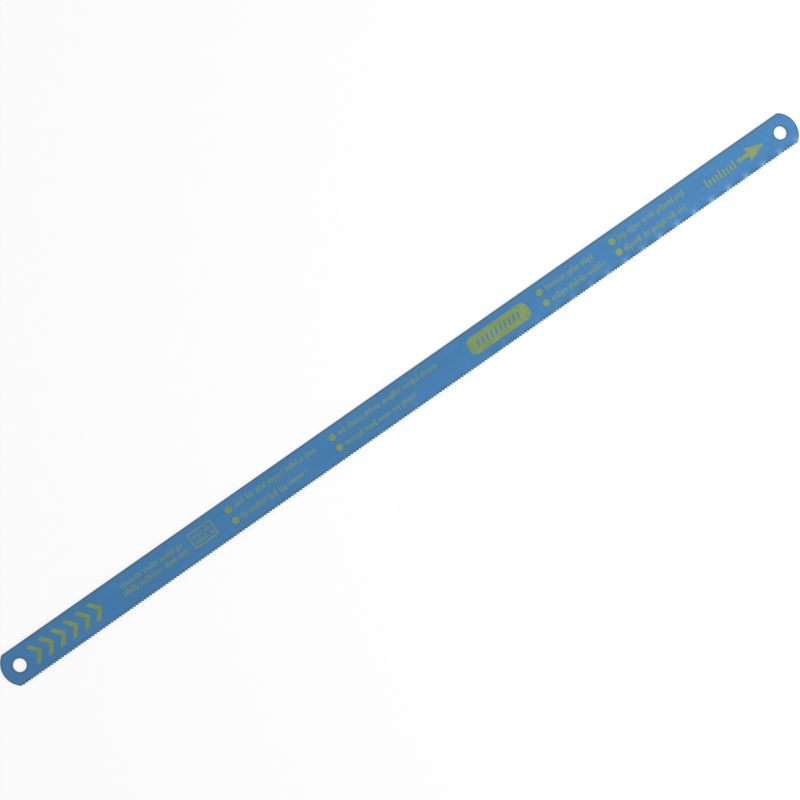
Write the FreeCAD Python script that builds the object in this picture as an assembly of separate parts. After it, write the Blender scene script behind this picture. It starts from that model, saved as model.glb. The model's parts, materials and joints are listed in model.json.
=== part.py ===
import FreeCAD, Part
import math
import os

# Hand hacksaw blade: one strip of hardened steel with a pin hole near each rounded end and
# one toothed edge, whose teeth are set to both sides in a wave.
# X runs along the blade towards its front end, which is the way the teeth point.
# Y runs across the blade towards its back edge, and +Z is the printed face.
# The origin is midway between the pin holes, at the height of the lowest crests of the set.
# Lengths are in millimetres.

# Strip
pin_spacing = 300.0
pin_hole_diameter = 4.4
end_overhang = 5.9
corner_overhang = 2.8
blade_width = 11.9
blade_thickness = 0.65
back_radius = 0.12

# Teeth, 24 to the inch, with a gullet whose round root is a few flats
tooth_pitch = 25.4 / 24
tooth_depth = 0.48
gullet_radius = 0.2
gullet_flats = 4

# Wavy set: one crest's place along the blade, its swing to each side and its height
wave_length = 6.9
crest_place = 4.7
set_offset = 0.17
set_height = 2.0

# How far the rough blank reaches past the finished outline
blank_margin = 1.0

end_x = pin_spacing / 2 + end_overhang
corner_x = pin_spacing / 2 + corner_overhang
back_edge = blade_width / 2
tip_line = -blade_width / 2
bend_line = tip_line + set_height
sheet_bottom = set_offset
half_wave = wave_length / 2


def point(x, y, z=0.0):
    return FreeCAD.Vector(x, y, z)


def chain(points):
    """Straight edges from each point to the next."""
    return [Part.LineSegment(a, b).toShape() for a, b in zip(points, points[1:])]


def rounded_end(side):
    """The arc from the front side's tooth corner to its back corner, or the reverse at the rear."""
    tooth_corner = point(side * corner_x, tip_line)
    back_corner = point(side * corner_x, back_edge)
    start, end = (tooth_corner, back_corner) if side > 0 else (back_corner, tooth_corner)
    return Part.Arc(start, point(side * end_x, 0), end).toShape()


def back_slope():
    """Angle at which the back of a tooth, tangent to the gullet's root, falls to the next tip."""
    rise = tooth_depth - gullet_radius
    run = tooth_pitch - gullet_radius
    return math.atan2(rise, run) + math.asin(gullet_radius / math.hypot(rise, run))


def tooth_points(tip_x):
    """A tip, and the gullet in front of it: upright front face, round root, start of the slope."""
    root_x = tip_x + gullet_radius
    root_y = tip_line + tooth_depth - gullet_radius
    turn = math.pi / 2 + back_slope()
    points = [point(tip_x, tip_line)]
    for step in range(gullet_flats + 1):
        angle = math.pi - turn * step / gullet_flats
        x = root_x + gullet_radius * math.cos(angle)
        y = root_y + gullet_radius * math.sin(angle)
        points.append(point(x, y))
    return points


def tooth_line():
    """The toothed edge, with whole teeth from the front corner as far back as they fit."""
    teeth = math.floor(2 * corner_x / tooth_pitch)
    points = [point(-corner_x, tip_line)]
    for number in range(teeth, 0, -1):
        points += tooth_points(corner_x - number * tooth_pitch)
    points.append(point(corner_x, tip_line))
    return chain(points)


def pin_hole(side):
    centre = point(side * pin_spacing / 2, 0)
    return Part.Wire(Part.Circle(centre, point(0, 0, 1), pin_hole_diameter / 2).toShape())


def blanked_profile():
    """The blade's outline and pin holes as a block that is deeper than the set blade."""
    back = chain([point(corner_x, back_edge), point(-corner_x, back_edge)])
    outline = Part.Wire(tooth_line() + [rounded_end(1)] + back + [rounded_end(-1)])
    face = Part.makeFace([outline, pin_hole(-1), pin_hole(1)], "Part::FaceMakerBullseye")
    face.translate(point(0, 0, -blank_margin))
    return face.extrude(point(0, 0, 2 * set_offset + blade_thickness + 2 * blank_margin))


def set_patch(start_x, swing):
    """Underside of the set between two crests: it grows from the bend line to the tips."""
    depth = set_height + blank_margin
    crest = swing * set_offset * (depth / set_height) ** 2
    patch = Part.BezierSurface()
    patch.increase(3, 2)
    for column, height in enumerate((crest, crest, -crest, -crest)):
        x = start_x + half_wave * column / 3
        for row, share in enumerate((0, 0, 1)):
            place = point(x, bend_line - depth * row / 2, sheet_bottom + share * height)
            patch.setPole(column + 1, row + 1, place)
    return patch.toShape()


def underside():
    """The flat sheet above the bend line, and a row of set patches below it."""
    reach = end_x + blank_margin
    first = math.floor((-reach - crest_place) / half_wave)
    last = math.ceil((reach - crest_place) / half_wave)
    crests = [crest_place + number * half_wave for number in range(first, last + 1)]
    swings = [1 if number % 2 == 0 else -1 for number in range(first, last)]
    faces = [set_patch(x, swing) for x, swing in zip(crests, swings)]
    border = [point(x, bend_line, sheet_bottom) for x in crests]
    border.append(point(crests[-1], back_edge + blank_margin, sheet_bottom))
    border.append(point(crests[0], back_edge + blank_margin, sheet_bottom))
    faces.append(Part.Face(Part.Wire(chain(border + border[:1]))))
    sheet = Part.Shell(faces)
    sheet.sewShape()
    return sheet


def set_sheet():
    """The strip before it is blanked: its underside, raised by the thickness and walled round."""
    bottom = underside()
    rise = point(0, 0, blade_thickness)
    top = bottom.copy()
    top.translate(rise)
    rim = [edge for edge in bottom.Edges if len(bottom.ancestorsOfType(edge, Part.Face)) == 1]
    shell = Part.Shell(bottom.Faces + top.Faces + [edge.extrude(rise) for edge in rim])
    shell.sewShape()
    return Part.Solid(shell)


def back_corners(strip):
    """The two long edges of the straight back, above and below."""
    at_back = [edge for edge in strip.Edges if edge.BoundBox.YMin > back_edge - back_radius]
    return [edge for edge in at_back if edge.BoundBox.ZLength < back_radius]


def blade():
    """The blanked strip, square at its punched edges and eased along its back."""
    strip = blanked_profile().common(set_sheet()).Solids[0]
    return strip.makeFillet(back_radius, back_corners(strip))


os.makedirs("parts", exist_ok=True)
blade().exportStep("parts/blade.step")
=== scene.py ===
import json
import math
import random

import bmesh
import bpy
from mathutils import Matrix, Vector
from mathutils.geometry import delaunay_2d_cdt


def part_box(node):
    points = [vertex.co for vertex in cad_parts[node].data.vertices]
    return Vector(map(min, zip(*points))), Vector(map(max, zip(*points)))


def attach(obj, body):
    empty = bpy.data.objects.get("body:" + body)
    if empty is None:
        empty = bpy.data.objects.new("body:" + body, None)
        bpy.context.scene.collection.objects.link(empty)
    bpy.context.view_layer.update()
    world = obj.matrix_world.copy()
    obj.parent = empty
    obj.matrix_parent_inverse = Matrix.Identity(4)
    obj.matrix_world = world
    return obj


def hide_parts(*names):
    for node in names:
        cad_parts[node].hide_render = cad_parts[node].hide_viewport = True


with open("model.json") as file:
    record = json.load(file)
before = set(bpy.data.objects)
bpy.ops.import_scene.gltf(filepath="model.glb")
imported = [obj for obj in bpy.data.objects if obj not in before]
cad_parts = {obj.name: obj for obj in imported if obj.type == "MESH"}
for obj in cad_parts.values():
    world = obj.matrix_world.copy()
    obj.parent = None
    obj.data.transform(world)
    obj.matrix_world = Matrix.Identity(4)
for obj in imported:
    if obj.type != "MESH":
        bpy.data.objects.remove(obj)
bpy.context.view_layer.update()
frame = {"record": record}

# A hacksaw blade that lies flat with its printed face up. Its lengths are in millimetres until a
# mesh is written, which is in metres. X runs towards the front end and Y towards the back edge.
MM = 0.001

# Sizes that the frame gives
low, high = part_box("blade")
mounts = {mount["name"]: mount for mount in frame["record"]["mounts"]}
pin = mounts["front_pin_hole"]
PIN_X = pin["pos_m"][0] / MM
PIN_RADIUS = pin["dims"]["r_mm"]
THICKNESS = pin["dims"]["length_mm"]
END_X = high.x / MM
BACK_Y = high.y / MM
TIP_Y = low.y / MM
SET_OFFSET = ((high.z - low.z) / MM - THICKNESS) / 2
MID_Z = low.z / MM + SET_OFFSET + THICKNESS / 2
TOP_Z = MID_Z + THICKNESS / 2

# The rounded ends' corners, and the teeth at 24 to the inch
CORNER_OVERHANG = 2.8
CORNER_X = PIN_X + CORNER_OVERHANG
TOOTH_PITCH = 25.4 / 24
TOOTH_DEPTH = 0.48
GULLET_RADIUS = 0.2

# The set, a wave along the blade with a crest at CREST_X. It grows from the bend line to its full
# offset at the tips. The bend line lies 0.8 mm further from the tips here than in the solid.
WAVE_LENGTH = 6.9
CREST_X = 4.7
SET_HEIGHT = 2.8
BEND_Y = TIP_Y + SET_HEIGHT

# Easing of the edges: the rolled back, and what the lacquer rounds elsewhere
BACK_EASE = 0.12
LACQUER_EASE = 0.03

# Painted edge shade: the rim is 1 on the walls and FLAT_RIM where a face begins, and it fades
# away over RIM_WIDTH from the ends, the back edge and the pin holes
FLAT_RIM = 0.7
RIM_WIDTH = 0.8

# How finely the curves are drawn
GULLET_STEPS = 9
END_STEPS = 48
PIN_STEPS = 72
EASE_STEPS = 3
BACK_STEP = 2.0
SMOOTH_TURN = math.radians(30)

# Points inside the faces: their rows, the step along a row and the distance kept from the ends,
# the back edge and the pin holes. They are close where the sheet is set, and wide on the flat rest.
SET_ROWS = [BEND_Y - 0.26 * row for row in range(9)]
POINT_ROWS = (
    (SET_ROWS, 0.345, 0.3),
    ([BEND_Y + 0.5], 0.69, 1.2),
    ([-1.4, 0.8, 3.0], 2.3, 1.2),
)

# Limits for the geometry: edges that count as parallel, and points that count as one
PARALLEL = 1e-3
SAME_POINT = 1e-6


def back_slope():
    """Angle at which the back of a tooth falls to the next tip, tangent to the gullet."""
    rise = TOOTH_DEPTH - GULLET_RADIUS
    run = TOOTH_PITCH - GULLET_RADIUS
    return math.atan2(rise, run) + math.asin(GULLET_RADIUS / math.hypot(rise, run))


def tooth_points(tip_x):
    """A tip and the round gullet in front of it."""
    root_x = tip_x + GULLET_RADIUS
    root_y = TIP_Y + TOOTH_DEPTH - GULLET_RADIUS
    turn = math.pi / 2 + back_slope()
    points = [(tip_x, TIP_Y)]
    for step in range(GULLET_STEPS + 1):
        angle = math.pi - turn * step / GULLET_STEPS
        x = root_x + GULLET_RADIUS * math.cos(angle)
        y = root_y + GULLET_RADIUS * math.sin(angle)
        points.append((x, y))
    return points


def end_arc():
    """Centre and radius of the front end's arc, through both corners and the end."""
    rise = BACK_Y
    reach = END_X - CORNER_X
    radius = (rise ** 2 + reach ** 2) / (2 * reach)
    return END_X - radius, radius


def front_end_points():
    """The front end from the tooth corner round to the back corner, without the last point."""
    centre, radius = end_arc()
    half = math.asin(BACK_Y / radius)
    angles = [half * (2 * step / END_STEPS - 1) for step in range(END_STEPS)]
    return [(centre + radius * math.cos(angle), radius * math.sin(angle)) for angle in angles]


def outline():
    """The blade's outline, anticlockwise, with the easing of the edge after each point.

    The last gullet lies across the rear corner, and the rear end's arc stops at its upright face.
    """
    teeth = math.ceil(2 * CORNER_X / TOOTH_PITCH)
    toothed = []
    for number in range(teeth, 0, -1):
        toothed += tooth_points(CORNER_X - number * TOOTH_PITCH)
    cut_x = toothed[0][0]
    centre, radius = end_arc()
    toothed[0] = (cut_x, -math.sqrt(radius ** 2 - (cut_x + centre) ** 2))
    front = front_end_points()
    count = round(2 * CORNER_X / BACK_STEP)
    back = [(CORNER_X - 2 * CORNER_X * step / count, BACK_Y) for step in range(count)]
    rear = [(-x, -y) for x, y in front if -x < cut_x or y < 0]
    points = toothed + front + back + rear
    eases = [LACQUER_EASE] * (len(toothed) + len(front))
    eases += [BACK_EASE] * len(back) + [LACQUER_EASE] * len(rear)
    return points, eases


def pin_hole(side):
    """One pin hole, clockwise, so that the steel is on its left as it is for the outline."""
    angles = [-2 * math.pi * step / PIN_STEPS for step in range(PIN_STEPS)]
    centre = side * PIN_X
    points = [(centre + PIN_RADIUS * math.cos(a), PIN_RADIUS * math.sin(a)) for a in angles]
    return points, [LACQUER_EASE] * PIN_STEPS


def wave(x, y):
    """How far the set moves the sheet at a place, and its slopes along X and Y."""
    if y >= BEND_Y:
        return 0.0, 0.0, 0.0
    half = WAVE_LENGTH / 2
    number = math.floor((x - CREST_X) / half)
    share = (x - CREST_X) / half - number
    sign = 1 if number % 2 == 0 else -1
    swing = sign * (1 - 2 * share ** 2 * (3 - 2 * share))
    swing_slope = -sign * 12 * share * (1 - share) / half
    fade = ((BEND_Y - y) / SET_HEIGHT) ** 2
    fade_slope = -2 * (BEND_Y - y) / SET_HEIGHT ** 2
    offset = SET_OFFSET * swing
    return offset * fade, SET_OFFSET * swing_slope * fade, offset * fade_slope


def face_normal(x, y, side):
    """Normal of the printed face (side 1) or the underside (side -1)."""
    slope_x, slope_y = wave(x, y)[1:]
    return Vector((-slope_x, -slope_y, 1)).normalized() * side


def edge_normals(points):
    """Inward normals of the edges that start at each point of a loop."""
    normals = []
    for (x0, y0), (x1, y1) in zip(points, points[1:] + points[:1]):
        length = math.hypot(x1 - x0, y1 - y0)
        normals.append(((y0 - y1) / length, (x1 - x0) / length))
    return normals


def inset(points, normals, depths):
    """The loop moved into the steel, each edge by its own depth."""
    moved = []
    for number, (x, y) in enumerate(points):
        ax, ay = normals[number - 1]
        bx, by = normals[number]
        before = depths[number - 1]
        after = depths[number]
        cross = ax * by - ay * bx
        if abs(cross) < PARALLEL:
            moved.append((x + bx * after, y + by * after))
        else:
            dx = (before * by - after * ay) / cross
            dy = (after * ax - before * bx) / cross
            moved.append((x + dx, y + dy))
    return moved


class Surface:
    """Gathers points, faces and a normal for each corner of each face."""

    def __init__(self):
        self.points = []
        self.rims = []
        self.faces = []
        self.normals = []

    def point(self, x, y, z, rim):
        self.points.append((x * MM, y * MM, z * MM))
        self.rims.append(rim)
        return len(self.points) - 1

    def face(self, corners, normals):
        self.faces.append(corners)
        self.normals += normals

    def mesh(self, name):
        mesh = bpy.data.meshes.new(name)
        mesh.from_pydata(self.points, [], self.faces)
        # The rim attribute carries the painted edge shade to the lacquer
        rim = mesh.attributes.new("rim", "FLOAT", "POINT")
        rim.data.foreach_set("value", self.rims)
        mesh.polygons.foreach_set("use_smooth", [True] * len(mesh.polygons))
        mesh.normals_split_custom_set(self.normals)
        return mesh


def outward(normals, number, other):
    """Outward normal at one end of an edge: shared with a neighbour that turns only a little."""
    ax, ay = normals[number]
    bx, by = normals[other]
    if ax * bx + ay * by > math.cos(SMOOTH_TURN):
        return Vector((-(ax + bx), -(ay + by), 0)).normalized()
    return Vector((-ax, -ay, 0))


def add_edge(surface, points, eases):
    """Wall and rounded corners round one loop. Returns the rings where the two faces begin."""
    normals = edge_normals(points)
    count = len(points)
    angles = [math.pi / 2 * step / EASE_STEPS for step in range(EASE_STEPS + 1)]
    rows = {}
    for angle in angles:
        # Painted edge shade: full on the wall, FLAT_RIM where the face begins
        rim = 1 - (1 - FLAT_RIM) * math.sin(angle)
        ring = inset(points, normals, [ease * (1 - math.cos(angle)) for ease in eases])
        for side in (1, -1):
            row = []
            for number, (x, y) in enumerate(ring):
                drop = eases[number] * (1 - math.sin(angle))
                z = MID_Z + wave(x, y)[0] + side * (THICKNESS / 2 - drop)
                row.append((surface.point(x, y, z, rim), x, y))
            rows[side, angle] = row

    def corner_normal(out, place, side, angle):
        level = face_normal(place[1], place[2], side)
        return (out * math.cos(angle) + level * math.sin(angle)).normalized()

    bands = [((side, a), (side, b)) for a, b in zip(angles, angles[1:]) for side in (1, -1)]
    bands.append(((-1, angles[0]), (1, angles[0])))
    for number in range(count):
        after = (number + 1) % count
        start = outward(normals, number, number - 1)
        end = outward(normals, number, after)
        for first, second in bands:
            lower, upper = (first, second) if second[0] > 0 else (second, first)
            corners = [
                (rows[lower][number], start, lower),
                (rows[lower][after], end, lower),
                (rows[upper][after], end, upper),
                (rows[upper][number], start, upper),
            ]
            ids = [place[0] for place, out, key in corners]
            surface.face(ids, [corner_normal(out, place, *key) for place, out, key in corners])
    return {side: rows[side, angles[-1]] for side in (1, -1)}


def edge_distance(x, y):
    """How far inside the ends, the back edge and the pin holes a place lies."""
    centre, radius = end_arc()
    from_end = radius - math.hypot(max(abs(x) - centre, 0), y)
    from_hole = math.hypot(abs(x) - PIN_X, y) - PIN_RADIUS
    return min(from_end, from_hole, BACK_Y - y)


def rim_share(x, y):
    """How much of the painted edge shade reaches a place on a face."""
    return FLAT_RIM * max(0, 1 - edge_distance(x, y) / RIM_WIDTH)


def spread(rows, step):
    """Places in rows, a step apart along the blade."""
    count = round(2 * END_X / step)
    return [(-END_X + step * number, y) for y in rows for number in range(count + 1)]


def inner_places():
    """Places inside the outline: a line where the rim fades out, and the rows of points."""
    places = []
    for loop, eases in (outline(), pin_hole(-1), pin_hole(1)):
        ring = inset(loop, edge_normals(loop), [RIM_WIDTH] * len(loop))
        places += [(x, y) for x, y in ring if y > BEND_Y]
    for rows, step, margin in POINT_ROWS:
        places += [place for place in spread(rows, step) if edge_distance(*place) > margin]
    return places


def outside_steel(corners, ring_of):
    """Whether an anticlockwise triangle of one ring's points lies in a gullet or a hole.

    The steel is on a ring's left, so the numbers rise round a triangle in the steel.
    """
    if len({ring_of[corner] for corner in corners}) > 1 or ring_of[corners[0]] is None:
        return False
    lowest = corners.index(min(corners))
    return corners[lowest - 2] > corners[lowest - 1]


def add_faces(surface, rings):
    """Fills the printed face and the underside between the rings where they begin."""
    places = []
    edges = []
    ring_of = []
    above = []
    below = []
    for number, ring in enumerate(rings):
        first = len(places)
        size = len(ring[1])
        places += [Vector((x, y)) for corner, x, y in ring[1]]
        edges += [(first + step, first + (step + 1) % size) for step in range(size)]
        ring_of += [number] * size
        above += [corner for corner, x, y in ring[1]]
        below += [corner for corner, x, y in ring[-1]]
    for x, y in inner_places():
        places.append(Vector((x, y)))
        ring_of.append(None)
        # Painted edge shade at this point
        rim = rim_share(x, y)
        above.append(surface.point(x, y, TOP_Z + wave(x, y)[0], rim))
        below.append(surface.point(x, y, TOP_Z - THICKNESS + wave(x, y)[0], rim))
    whole_hull = 0
    result = delaunay_2d_cdt(places, edges, [], whole_hull, SAME_POINT, True)
    for triangle in result[2]:
        corners = [result[3][corner][0] for corner in triangle]
        if outside_steel(corners, ring_of):
            continue
        turned = corners[::-1]
        for side, ids, order in ((1, above, corners), (-1, below, turned)):
            normals = [face_normal(*places[corner], side) for corner in order]
            surface.face([ids[corner] for corner in order], normals)


def build_blade(material):
    """The lacquered strip with its rounded edges, round gullets and wavy set."""
    surface = Surface()
    rings = [add_edge(surface, *loop) for loop in (outline(), pin_hole(-1), pin_hole(1))]
    add_faces(surface, rings)
    mesh = surface.mesh("lacquered_blade")
    mesh.materials.append(material)
    blade = bpy.data.objects.new("lacquered_blade", mesh)
    bpy.context.scene.collection.objects.link(blade)
    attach(blade, "root")
    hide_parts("blade")


# Print, from the rear end to the front: where each field lies along the blade and across it
CHEVRONS = dict(first=-145.5, last=-118.3, y0=-2.95, y1=3.45, width=1.7, reach=2.5, count=6)
SMALL_LINES = ((-109.9, -86.4, 1.15, 1.8), (-110.4, -85.4, -1.45, 1.8))
FRAME_BOX = (-83.7, -1.95, -74.7, 3.4)
DOT_COLUMNS = (-68.1, -27.5, 54.3, 83.4)
DOT_ROWS = (2.45, -1.6)
DOT_RADIUS = 1.15
TEXT_LINES = (
    (-65.9, -33.9, 1.65, 2.0), (-65.9, -40.3, -2.4, 2.0),
    (-25.1, 13.3, 1.65, 2.0), (-25.1, 3.0, -2.4, 2.0),
    (56.7, 75.6, 1.55, 2.1), (56.7, 77.8, -2.55, 2.1),
    (85.5, 112.2, 1.5, 2.2), (85.5, 110.0, -2.8, 2.2),
)
BADGE_BOX = (25.0, -2.65, 48.5, 3.35)
SCALE_BARS = dict(first=119.7, last=131.4, y0=-1.2, y1=1.8, count=9, width=0.62)
ARROW = dict(tail=132.7, neck=136.9, tip=143.5, middle=0.3, shaft=1.3, head=4.6)

# Strokes of the small print: their widths, how many make a word, how likely a tall and a deep one
# are, and lengths as shares of a line's height or a stroke's width
SMALL_STROKE = 0.36
FRAME_STROKE = 0.34
TEXT_STROKE = 0.32
WORD_STROKES = (4, 11)
TALL_CHANCE = 0.25
DEEP_CHANCE = 0.12
SHORT_TOP = 0.66
DEEP_FOOT = 0.28
STROKE_ROUND = 0.4
STROKE_PITCH = (1.9, 2.4)
WORD_GAP = 2.2

# The small frame's line, its corners outside and inside, and its two rows of strokes
FRAME_LINE = 0.4
FRAME_ROUNDS = (0.5, 0.3)
FRAME_ROWS = (1.0, 3.0)
FRAME_ROW_HEIGHT = 1.5
FRAME_ROW_START = 1.2
FRAME_ROW_END = 0.9

# The badge's corners and its open dashes
BADGE_ROUND = 2.2
DASH_START = 3.0
DASH_END = 3.6
DASH_MARGIN = 1.8
DASH_WIDTH = 0.62
DASH_LEAN = 0.7
DASH_PITCH = 1.75

# The scale's bars: every fourth is tall, and the others have a share of its height
TALL_EVERY = 4
SHORT_SHARE = 0.7
SCALE_ROUND = 0.15

# The ink film and how finely its curves are drawn
INK_RISE = 0.012
INK_SINK = 0.004
INK_WELD = 0.001
BOX_STEPS = 4
DISC_STEPS = 40


def box_points(x0, y0, x1, y1, radius):
    """A rectangle with rounded corners."""
    points = []
    corners = ((x1, y1, 0), (x0, y1, 1), (x0, y0, 2), (x1, y0, 3))
    for x, y, quarter in corners:
        centre_x = x - radius if quarter in (0, 3) else x + radius
        centre_y = y - radius if quarter in (0, 1) else y + radius
        for step in range(BOX_STEPS + 1):
            angle = math.pi / 2 * (quarter + step / BOX_STEPS)
            points.append((centre_x + radius * math.cos(angle), centre_y + radius * math.sin(angle)))
    return points


def disc_points(x, y, radius):
    angles = [2 * math.pi * step / DISC_STEPS for step in range(DISC_STEPS)]
    return [(x + radius * math.cos(angle), y + radius * math.sin(angle)) for angle in angles]


def slanted_bar(x, y0, y1, width, lean):
    return [(x, y0), (x + width, y0), (x + width + lean, y1), (x + lean, y1)]


def chevron_points(x, y0, y1, width, reach):
    """A bold angle that points to the front end."""
    middle = (y0 + y1) / 2
    return [
        (x, y0), (x + width, y0), (x + width + reach, middle),
        (x + width, y1), (x, y1), (x + reach, middle),
    ]


def chevron_row(first, last, y0, y1, width, reach, count):
    """Chevrons at even steps."""
    pitch = (last - first - width - reach) / (count - 1)
    places = [first + number * pitch for number in range(count)]
    return [chevron_points(x, y0, y1, width, reach) for x in places]


def word_bars(rng, x0, x1, y, height, stroke):
    """Upright strokes in word-like groups, which stand for a line of small print."""
    bars = []
    x = x0
    while x < x1 - stroke:
        for number in range(rng.randint(*WORD_STROKES)):
            top = height if rng.random() < TALL_CHANCE else SHORT_TOP * height
            foot = -DEEP_FOOT * height if rng.random() < DEEP_CHANCE else 0.0
            if x < x1 - stroke:
                bars.append(box_points(x, y + foot, x + stroke, y + top, STROKE_ROUND * stroke))
            x += stroke * rng.uniform(*STROKE_PITCH)
        x += WORD_GAP * stroke
    return bars


def small_lines(rng):
    """Two lines of small print."""
    bars = []
    for x0, x1, y, height in SMALL_LINES:
        bars += word_bars(rng, x0, x1, y, height, SMALL_STROKE)
    return bars


def framed_bars(rng):
    """A small frame round two rows of strokes."""
    x0, y0, x1, y1 = FRAME_BOX
    line = FRAME_LINE
    outer_round, inner_round = FRAME_ROUNDS
    outlines = [
        box_points(x0, y0, x1, y1, outer_round),
        box_points(x0 + line, y0 + line, x1 - line, y1 - line, inner_round),
    ]
    start = x0 + FRAME_ROW_START
    end = x1 - FRAME_ROW_END
    for row in FRAME_ROWS:
        outlines += word_bars(rng, start, end, y0 + row, FRAME_ROW_HEIGHT, FRAME_STROKE)
    return outlines


def badge():
    """A rounded badge with a row of slanted dashes left open."""
    x0, y0, x1, y1 = BADGE_BOX
    outlines = [box_points(x0, y0, x1, y1, BADGE_ROUND)]
    x = x0 + DASH_START
    while x < x1 - DASH_END:
        outlines.append(slanted_bar(x, y0 + DASH_MARGIN, y1 - DASH_MARGIN, DASH_WIDTH, DASH_LEAN))
        x += DASH_PITCH
    return outlines


def scale_row(first, last, y0, y1, count, width):
    """Upright bars at even steps, like the marks of a scale."""
    pitch = (last - first - width) / (count - 1)
    bars = []
    for number in range(count):
        x = first + number * pitch
        top = y1 if number % TALL_EVERY == 0 else y0 + SHORT_SHARE * (y1 - y0)
        bars.append(box_points(x, y0, x + width, top, SCALE_ROUND))
    return bars


def arrow_points(tail, neck, tip, middle, shaft, head):
    """An arrow that points to the front end, as the teeth do."""
    return [
        (tail, middle - shaft / 2), (neck, middle - shaft / 2),
        (neck, middle - head / 2), (tip, middle), (neck, middle + head / 2),
        (neck, middle + shaft / 2), (tail, middle + shaft / 2),
    ]


def weld(mesh):
    """Joins a film's faces to its sides, and shades each face flat."""
    shell = bmesh.new()
    shell.from_mesh(mesh)
    bmesh.ops.remove_doubles(shell, verts=shell.verts, dist=INK_WELD * MM)
    for face in shell.faces:
        face.smooth = False
    shell.to_mesh(mesh)
    shell.free()


def ink_piece(name, outlines, material):
    """A thin closed film of ink on the printed face. Outlines inside another are left open."""
    curve = bpy.data.curves.new(name, "CURVE")
    curve.dimensions = "2D"
    curve.fill_mode = "BOTH"
    curve.extrude = (INK_RISE + INK_SINK) / 2 * MM
    for points in outlines:
        spline = curve.splines.new("POLY")
        spline.points.add(len(points) - 1)
        for spot, (x, y) in zip(spline.points, points):
            spot.co = (x * MM, y * MM, 0, 1)
        spline.use_cyclic_u = True
    shape = bpy.data.objects.new(name + "_outline", curve)
    bpy.context.scene.collection.objects.link(shape)
    bpy.context.view_layer.update()
    mesh = bpy.data.meshes.new_from_object(shape)
    bpy.data.objects.remove(shape)
    bpy.data.curves.remove(curve)
    mesh.name = name
    weld(mesh)
    mesh.transform(Matrix.Translation((0, 0, (TOP_Z + (INK_RISE - INK_SINK) / 2) * MM)))
    mesh.materials.clear()
    mesh.materials.append(material)
    piece = bpy.data.objects.new(name, mesh)
    bpy.context.scene.collection.objects.link(piece)
    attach(piece, "root")


def build_print(material):
    """The print, with each field as a piece of its own."""
    rng = random.Random(24)
    ink_piece("print_chevrons", chevron_row(**CHEVRONS), material)
    ink_piece("print_small_lines", small_lines(rng), material)
    ink_piece("print_framed_bars", framed_bars(rng), material)
    dots = [disc_points(x, y, DOT_RADIUS) for x in DOT_COLUMNS for y in DOT_ROWS]
    ink_piece("print_dots", dots, material)
    for number, (x0, x1, y, height) in enumerate(TEXT_LINES, 1):
        bars = word_bars(rng, x0, x1, y, height, TEXT_STROKE)
        ink_piece(f"print_line_{number}", bars, material)
    ink_piece("print_badge", badge(), material)
    ink_piece("print_scale_bars", scale_row(**SCALE_BARS), material)
    ink_piece("print_arrow", [arrow_points(**ARROW)], material)


# Colours, as pairs that a noise runs between and as single ones
LACQUER_BLUES = ((0.027, 0.180, 0.414), (0.033, 0.205, 0.460))
ROLLED_BLUE = (0.042, 0.228, 0.500)
# Navy of the painted shade on the edges and towards the teeth
PAINTED_SHADE_BLUE = (0.030, 0.100, 0.150)
INK_GREENS = ((0.174, 0.265, 0.070), (0.218, 0.307, 0.096))
SPECK_BLUE = (0.070, 0.210, 0.270)
PAPER_GREYS = ((0.78, 0.78, 0.78), (0.82, 0.82, 0.82))
LIT_GREYS = ((0.28, 0.28, 0.28), (0.30, 0.30, 0.30))
PAPER_GLOW = 0.72

# Painted shade towards the teeth: where it starts above the tips, and where it is full
TOOTH_SHADE_START = 1.4
TOOTH_SHADE_FULL = 0.3

# Relief of the surfaces, in metres
LACQUER_RELIEF = 0.000012
INK_RELIEF = 0.000008


def by_identifier(sockets, identifier):
    return next(socket for socket in sockets if socket.identifier == identifier)


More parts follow.
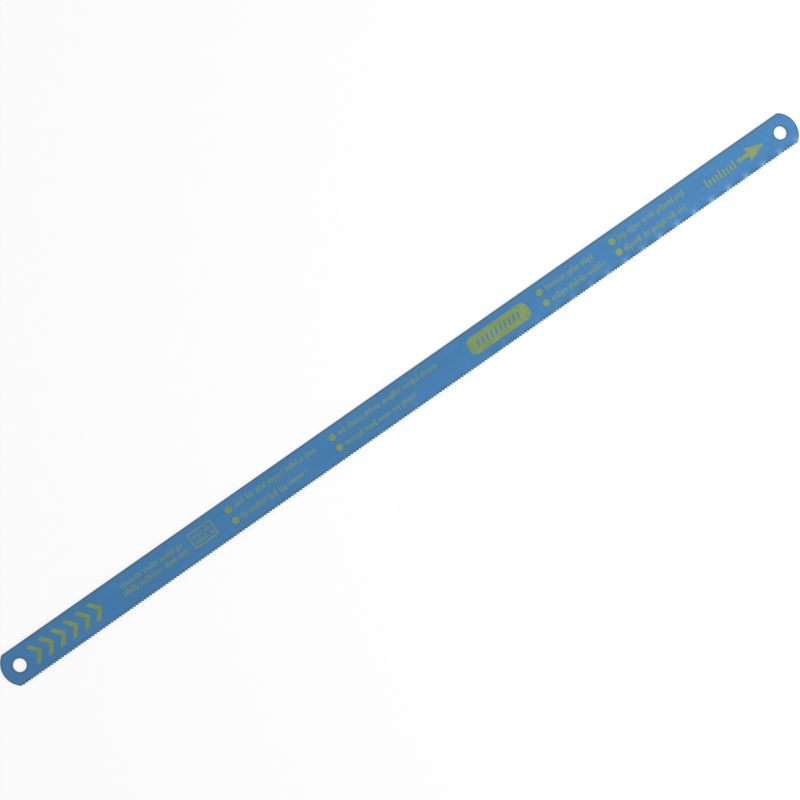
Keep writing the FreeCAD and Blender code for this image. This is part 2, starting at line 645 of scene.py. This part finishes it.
class Nodes:
    """Short names for what the materials are wired from."""

    def __init__(self, name):
        self.material = bpy.data.materials.new(name)
        self.material.use_nodes = True
        self.tree = self.material.node_tree
        self.shader = self.tree.nodes["Principled BSDF"]
        self.place = self.node("ShaderNodeTexCoord").outputs["Object"]

    def node(self, kind, **settings):
        node = self.tree.nodes.new(kind)
        for name, value in settings.items():
            setattr(node, name, value)
        return node

    def link(self, output, socket):
        self.tree.links.new(output, socket)

    def noise(self, stretch, detail=4.0, rough=0.55):
        """Noise of about one feature for each step of the given sizes, in metres."""
        mapping = self.node("ShaderNodeMapping")
        mapping.inputs["Scale"].default_value = [1 / size for size in stretch]
        self.link(self.place, mapping.inputs["Vector"])
        noise = self.node("ShaderNodeTexNoise")
        noise.inputs["Scale"].default_value = 1.0
        noise.inputs["Detail"].default_value = detail
        noise.inputs["Roughness"].default_value = rough
        self.link(mapping.outputs["Vector"], noise.inputs["Vector"])
        return noise.outputs["Fac"]

    def ramp(self, value, start, end, low=0.0, high=1.0):
        """The value's stretch from start to end, turned into low to high."""
        ramp = self.node("ShaderNodeMapRange", interpolation_type="SMOOTHSTEP")
        ramp.inputs["From Min"].default_value = start
        ramp.inputs["From Max"].default_value = end
        ramp.inputs["To Min"].default_value = low
        ramp.inputs["To Max"].default_value = high
        self.link(value, ramp.inputs["Value"])
        return ramp.outputs["Result"]

    def math(self, operation, first, second):
        """A sum, product or the like of two values, each a number or a node's output."""
        node = self.node("ShaderNodeMath", operation=operation)
        for socket, value in zip(node.inputs, (first, second)):
            if isinstance(value, (int, float)):
                socket.default_value = value
            else:
                self.link(value, socket)
        return node.outputs["Value"]

    def mix(self, share, first, second):
        """Colour between two others, each a colour or a node's output."""
        node = self.node("ShaderNodeMix", data_type="RGBA")
        self.link(share, node.inputs["Factor"])
        for identifier, colour in (("A_Color", first), ("B_Color", second)):
            socket = by_identifier(node.inputs, identifier)
            if isinstance(colour, tuple):
                socket.default_value = (*colour, 1)
            else:
                self.link(colour, socket)
        return by_identifier(node.outputs, "Result_Color")

    def bump(self, height, distance):
        node = self.node("ShaderNodeBump")
        node.inputs["Distance"].default_value = distance
        node.inputs["Strength"].default_value = 1.0
        self.link(height, node.inputs["Height"])
        return node.outputs["Normal"]


def lacquer():
    """Blue lacquer over rolled steel: lengthwise rolling lines, with painted shade on the rims and
    towards the teeth.
    """
    nodes = Nodes("blue_lacquer")
    shader = nodes.shader
    cloud = nodes.noise((0.018, 0.006, 0.01), detail=3.0)
    rolled = nodes.noise((0.03, 0.00022, 0.01), detail=5.0, rough=0.65)
    peel = nodes.noise((0.0011, 0.0008, 0.001), detail=2.0)
    body = nodes.mix(nodes.ramp(cloud, 0.3, 0.7), *LACQUER_BLUES)
    body = nodes.mix(nodes.ramp(rolled, 0.35, 0.75, high=0.5), body, ROLLED_BLUE)

    # Painted edge shade: navy on the walls, fading in from the ends, the back edge and the pin holes
    rim = nodes.node("ShaderNodeAttribute", attribute_name="rim").outputs["Fac"]
    ragged = nodes.noise((0.0012, 0.0012, 0.001), detail=3.0)
    rim = nodes.math("MULTIPLY", rim, nodes.ramp(ragged, 0.25, 0.6, low=0.75))
    body = nodes.mix(nodes.ramp(rim, 0.0, FLAT_RIM, high=0.85), body, PAINTED_SHADE_BLUE)

    # Painted shade: the lacquer darkens towards the teeth
    across = nodes.node("ShaderNodeSeparateXYZ")
    nodes.link(nodes.place, across.inputs["Vector"])
    shade_start = (TIP_Y + TOOTH_SHADE_START) * MM
    shade_full = (TIP_Y + TOOTH_SHADE_FULL) * MM
    tooth = nodes.ramp(across.outputs["Y"], shade_start, shade_full, high=0.5)
    body = nodes.mix(tooth, body, PAINTED_SHADE_BLUE)

    relief = nodes.math("ADD", nodes.math("MULTIPLY", rolled, 0.4), peel)
    nodes.link(body, shader.inputs["Base Color"])
    nodes.link(nodes.ramp(peel, 0.2, 0.8, low=0.24, high=0.31), shader.inputs["Roughness"])
    nodes.link(nodes.bump(relief, LACQUER_RELIEF), shader.inputs["Normal"])
    shader.inputs["Metallic"].default_value = 0.15
    shader.inputs["Coat Weight"].default_value = 0.6
    shader.inputs["Coat Roughness"].default_value = 0.12
    return nodes.material


def ink():
    """Yellow-green screen print, thin enough for the blue to show through in specks."""
    nodes = Nodes("print_ink")
    shader = nodes.shader
    patch = nodes.noise((0.004, 0.004, 0.01), detail=3.0)
    grain = nodes.noise((0.00022, 0.00022, 0.001), rough=0.7)
    body = nodes.mix(nodes.ramp(patch, 0.3, 0.7), *INK_GREENS)
    body = nodes.mix(nodes.ramp(grain, 0.58, 0.72, high=0.6), body, SPECK_BLUE)
    nodes.link(body, shader.inputs["Base Color"])
    nodes.link(nodes.ramp(grain, 0.3, 0.7, low=0.45, high=0.62), shader.inputs["Roughness"])
    nodes.link(nodes.bump(grain, INK_RELIEF), shader.inputs["Normal"])
    return nodes.material


def floor_material():
    """Pale paper. The camera and reflections see most of its white as a glow, and some as lit."""
    nodes = Nodes("pale_floor")
    shader = nodes.shader
    fibre = nodes.noise((0.004, 0.004, 0.004))
    nodes.link(nodes.mix(fibre, *PAPER_GREYS), shader.inputs["Base Color"])
    shader.inputs["Roughness"].default_value = 0.9
    shader.inputs["Specular IOR Level"].default_value = 0.1
    lit = nodes.node("ShaderNodeBsdfDiffuse")
    nodes.link(nodes.mix(fibre, *LIT_GREYS), lit.inputs["Color"])
    glow = nodes.node("ShaderNodeEmission")
    glow.inputs["Strength"].default_value = PAPER_GLOW
    ray = nodes.node("ShaderNodeLightPath")
    seen = nodes.math("ADD", ray.outputs["Is Camera Ray"], ray.outputs["Is Glossy Ray"])
    seen = nodes.math("ADD", seen, ray.outputs["Is Transmission Ray"])
    seen = nodes.math("MINIMUM", seen, 1.0)
    both = nodes.node("ShaderNodeAddShader")
    nodes.link(lit.outputs["BSDF"], both.inputs[0])
    nodes.link(glow.outputs["Emission"], both.inputs[1])
    chosen = nodes.node("ShaderNodeMixShader")
    nodes.link(seen, chosen.inputs["Fac"])
    nodes.link(shader.outputs["BSDF"], chosen.inputs[1])
    nodes.link(both.outputs["Shader"], chosen.inputs[2])
    nodes.link(chosen.outputs["Shader"], nodes.tree.nodes["Material Output"].inputs["Surface"])
    return nodes.material


# The stage, in metres and watts
FLOOR_HALF = 8.0
LAMP_PLACE = (0.29, -0.19, 0.39)
LAMP_TARGET = (0.10, 0.0, 0.0)
LAMP_SIDE = 0.15
LAMP_POWER = 1.25
SURROUND = 0.62

# The photograph's view: the place of the camera, what it looks at, and the way across the
# floor that is up in the picture
CAMERA_PLACE = (-0.0203, 0.0046, 0.3875)
CAMERA_TARGET = (-0.00281, -0.00024, TOP_Z * MM)
CAMERA_NEAREST = 0.01
PICTURE_UP = math.radians(55.0)
FOCAL_PIXELS = 1200
PICTURE_PIXELS = 800
SENSOR_MM = 36.0


def build_floor():
    corners = [(-1, -1), (1, -1), (1, 1), (-1, 1)]
    points = [(FLOOR_HALF * x, FLOOR_HALF * y, 0) for x, y in corners]
    mesh = bpy.data.meshes.new("floor")
    mesh.from_pydata(points, [], [(0, 1, 2, 3)])
    mesh.materials.append(floor_material())
    floor = bpy.data.objects.new("floor", mesh)
    bpy.context.scene.collection.objects.link(floor)


def aim(thing, place, target, up):
    """Stands a lamp or camera at a place, looking at the target with up towards the top."""
    back = (Vector(place) - Vector(target)).normalized()
    right = Vector(up).cross(back).normalized()
    turn = Matrix((right, back.cross(right), back)).transposed().to_4x4()
    thing.matrix_world = Matrix.Translation(place) @ turn


def light_scene():
    """A soft lamp beyond the front end on the teeth's side, and an even pale surround."""
    world = bpy.data.worlds.new("studio")
    bpy.context.scene.world = world
    world.use_nodes = True
    background = world.node_tree.nodes["Background"]
    background.inputs["Color"].default_value = (1, 1, 1, 1)
    background.inputs["Strength"].default_value = SURROUND
    lamp = bpy.data.lights.new("key_lamp", "AREA")
    lamp.shape = "RECTANGLE"
    lamp.size = LAMP_SIDE
    lamp.size_y = LAMP_SIDE
    lamp.energy = LAMP_POWER
    thing = bpy.data.objects.new("key_lamp", lamp)
    bpy.context.scene.collection.objects.link(thing)
    aim(thing, LAMP_PLACE, LAMP_TARGET, (0, 1, 0))


def add_camera():
    camera = bpy.data.cameras.new("camera")
    camera.sensor_width = SENSOR_MM
    camera.lens = FOCAL_PIXELS * SENSOR_MM / PICTURE_PIXELS
    camera.clip_start = CAMERA_NEAREST
    thing = bpy.data.objects.new("camera", camera)
    bpy.context.scene.collection.objects.link(thing)
    aim(thing, CAMERA_PLACE, CAMERA_TARGET, (math.cos(PICTURE_UP), math.sin(PICTURE_UP), 0))
    bpy.context.scene.camera = thing


add_camera()
light_scene()
build_floor()
build_blade(lacquer())
build_print(ink())
bpy.context.scene.view_settings.view_transform = "Standard"
